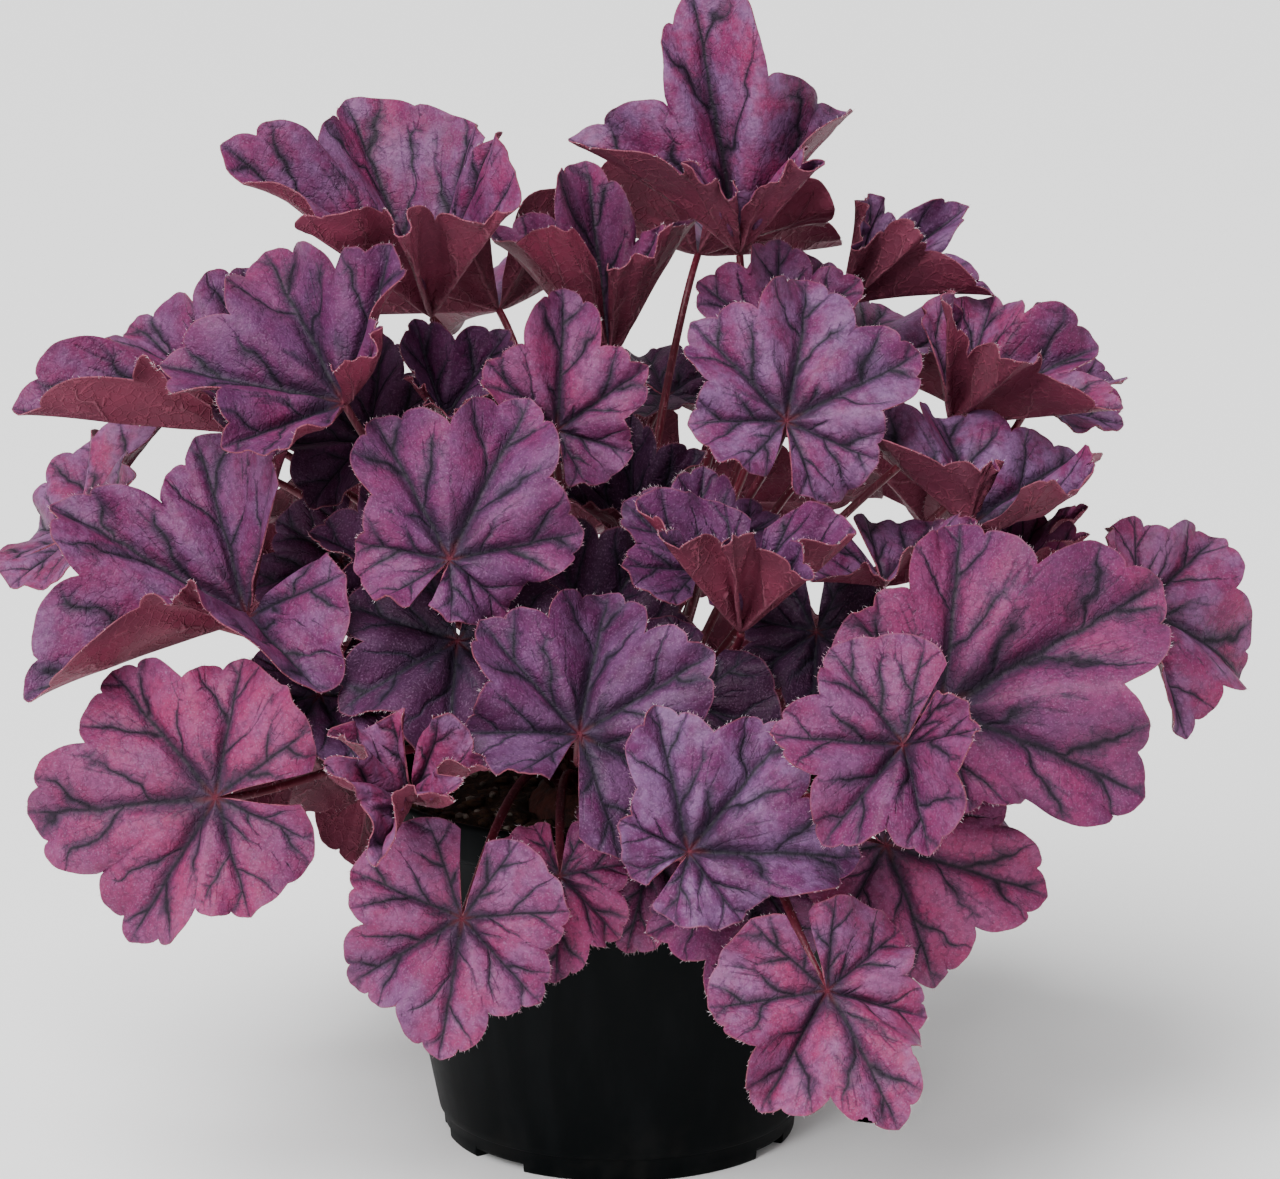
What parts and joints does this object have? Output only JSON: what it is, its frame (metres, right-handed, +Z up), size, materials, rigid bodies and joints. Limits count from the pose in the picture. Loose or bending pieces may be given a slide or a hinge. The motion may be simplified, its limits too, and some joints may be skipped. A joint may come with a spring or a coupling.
{
  "type": "potted heuchera plant",
  "caption": "Bushy heuchera with lobed, wavy purple leaves on thin red stalks, growing in a round black nursery pot.",
  "frame": {"origin": "on the pot's axis at the level that its foot stands on", "axes": "+Z up along the pot's axis, -Y toward the plant's front, +X to the right seen from the front"},
  "size_m": [0.4309, 0.3498, 0.3866],
  "materials": {
    "pot": "moulded, slightly rough",
    "soil": "loose, crumbly",
    "crown": "rough, scaly",
    "leaf": "satin, quilted, finely hairy"
  },
  "bodies": {
    "root": {"pot": "pot", "potting_soil": "soil", "crown": "crown", "leaf_top_right": "leaf", "leaf_top_far_right": "leaf", "leaf_top_left": "leaf", "leaf_top_middle": "leaf", "leaf_shoulder_far_left": "leaf", "leaf_shoulder_left": "leaf", "leaf_shoulder_middle_left": "leaf", "leaf_shoulder_dark": "leaf", "leaf_shoulder_middle_right": "leaf", "leaf_shoulder_upper_right": "leaf", "leaf_shoulder_right": "leaf", "leaf_shoulder_low_right": "leaf", "leaf_shoulder_far_right": "leaf", "leaf_shoulder_back_right": "leaf", "leaf_front_upper_left": "leaf", "leaf_inner_middle": "leaf", "leaf_inner_right": "leaf", "leaf_front_cupped": "leaf", "leaf_front_small_cup": "leaf", "leaf_side_far_left": "leaf", "leaf_side_left": "leaf", "leaf_inner_left": "leaf", "leaf_side_low_left": "leaf", "leaf_inner_low_left": "leaf", "leaf_inner_far_left": "leaf", "leaf_front_dark_left": "leaf", "leaf_front_middle": "leaf", "leaf_front_right": "leaf", "leaf_front_far_right": "leaf", "leaf_side_right": "leaf", "leaf_side_low_right": "leaf", "leaf_front_young": "leaf", "leaf_low_left": "leaf", "leaf_low_middle_left": "leaf", "leaf_low_middle_right": "leaf", "leaf_low_inner_right": "leaf", "leaf_low_right": "leaf", "leaf_inner_front": "leaf", "leaf_inner_front_right": "leaf", "leaf_inner_low_right": "leaf", "leaf_side_upper_right": "leaf", "leaf_inner_upper_left": "leaf", "leaf_shoulder_small_left": "leaf", "leaf_back_low_right": "leaf", "leaf_back_low_middle_right": "leaf", "leaf_back_low_middle": "leaf", "leaf_back_low_middle_left": "leaf", "leaf_back_low_left": "leaf", "leaf_back_right": "leaf", "leaf_back_middle_right": "leaf", "leaf_back_middle": "leaf", "leaf_back_middle_left": "leaf", "leaf_back_left": "leaf", "leaf_back_far_left": "leaf", "leaf_back_top_middle": "leaf", "leaf_back_top_left": "leaf", "leaf_back_top_right": "leaf"}
  },
  "joints": []
}
